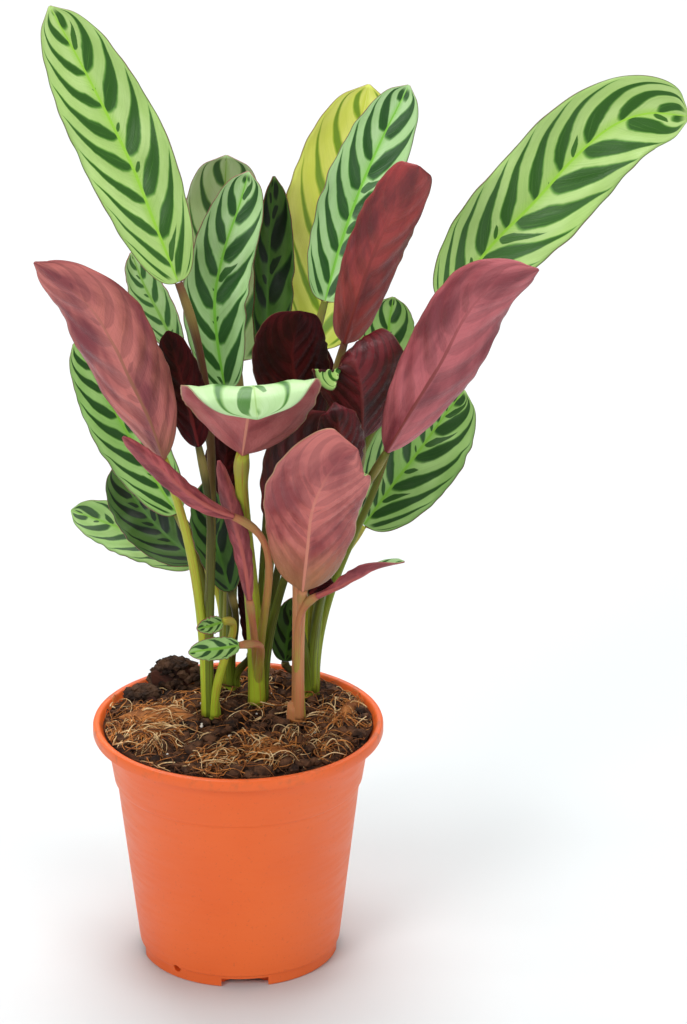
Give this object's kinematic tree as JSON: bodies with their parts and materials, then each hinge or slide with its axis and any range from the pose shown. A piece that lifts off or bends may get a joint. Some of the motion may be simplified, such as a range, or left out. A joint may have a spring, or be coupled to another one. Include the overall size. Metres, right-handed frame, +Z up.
{
  "type": "potted ctenanthe",
  "caption": "Ctenanthe house plant with striped upright leaves, maroon beneath, in a round plastic nursery pot with drainage feet.",
  "frame": {"origin": "middle of the pot's underside, on the surface that the pot stands on", "axes": "+Z up along the plant, -Y towards the viewer of the front, +X to the viewer's right; right-handed"},
  "size_m": [0.2617, 0.1628, 0.3952],
  "materials": {
    "terracotta_plastic": "satin",
    "potting_soil": "rough",
    "coir_husk": "rough",
    "bark": "rough",
    "leaf_green": "satin",
    "leaf_maroon": "satin",
    "leaf_yellow": "satin",
    "leaf_shade": "satin",
    "stem_green": "satin",
    "stem_tan": "satin"
  },
  "bodies": {
    "root": {"pot": "terracotta_plastic", "soil": "potting_soil", "husk_left": "coir_husk", "husk_front": "coir_husk", "husk_right": "coir_husk", "bark_left": "bark", "bark_back": "bark", "stems_left": "stem_green", "stems_back": "stem_green", "stems_centre": "stem_green", "stems_front": "stem_tan", "stems_right": "stem_green", "leaf_tall_left": "leaf_green", "leaf_maroon_left": "leaf_maroon", "leaf_maroon_top": "leaf_maroon", "leaf_maroon_right": "leaf_maroon", "leaf_right": "leaf_green", "leaf_front_recurved": "leaf_maroon", "leaf_front_maroon": "leaf_maroon", "leaf_behind_front": "leaf_shade", "leaf_left_green": "leaf_green", "leaf_low_left": "leaf_green", "leaf_low_left_back": "leaf_green", "leaf_lower_right": "leaf_green", "leaf_behind_right": "leaf_green", "leaf_yellow": "leaf_yellow", "leaf_centre_top": "leaf_green", "leaf_centre_left": "leaf_green", "leaf_behind_centre": "leaf_green", "leaf_rolled": "leaf_green", "leaf_folded_left": "leaf_green", "leaf_dark_behind_left": "leaf_shade", "leaf_dark_left": "leaf_shade", "leaf_dark_right": "leaf_shade", "leaf_dark_low": "leaf_shade", "leaf_dark_middle": "leaf_shade", "leaf_dark_sheath": "leaf_shade", "leaf_dark_centre": "leaf_shade", "leaf_tiny_low": "leaf_green", "leaf_tiny_curled": "leaf_green", "leaf_small_right": "leaf_maroon", "leaf_twisted": "leaf_maroon", "leaf_low_centre": "leaf_green", "leaf_pink_sheath": "leaf_maroon", "leaf_low_right": "leaf_green", "leaf_dark_oval": "leaf_shade"}
  },
  "joints": []
}
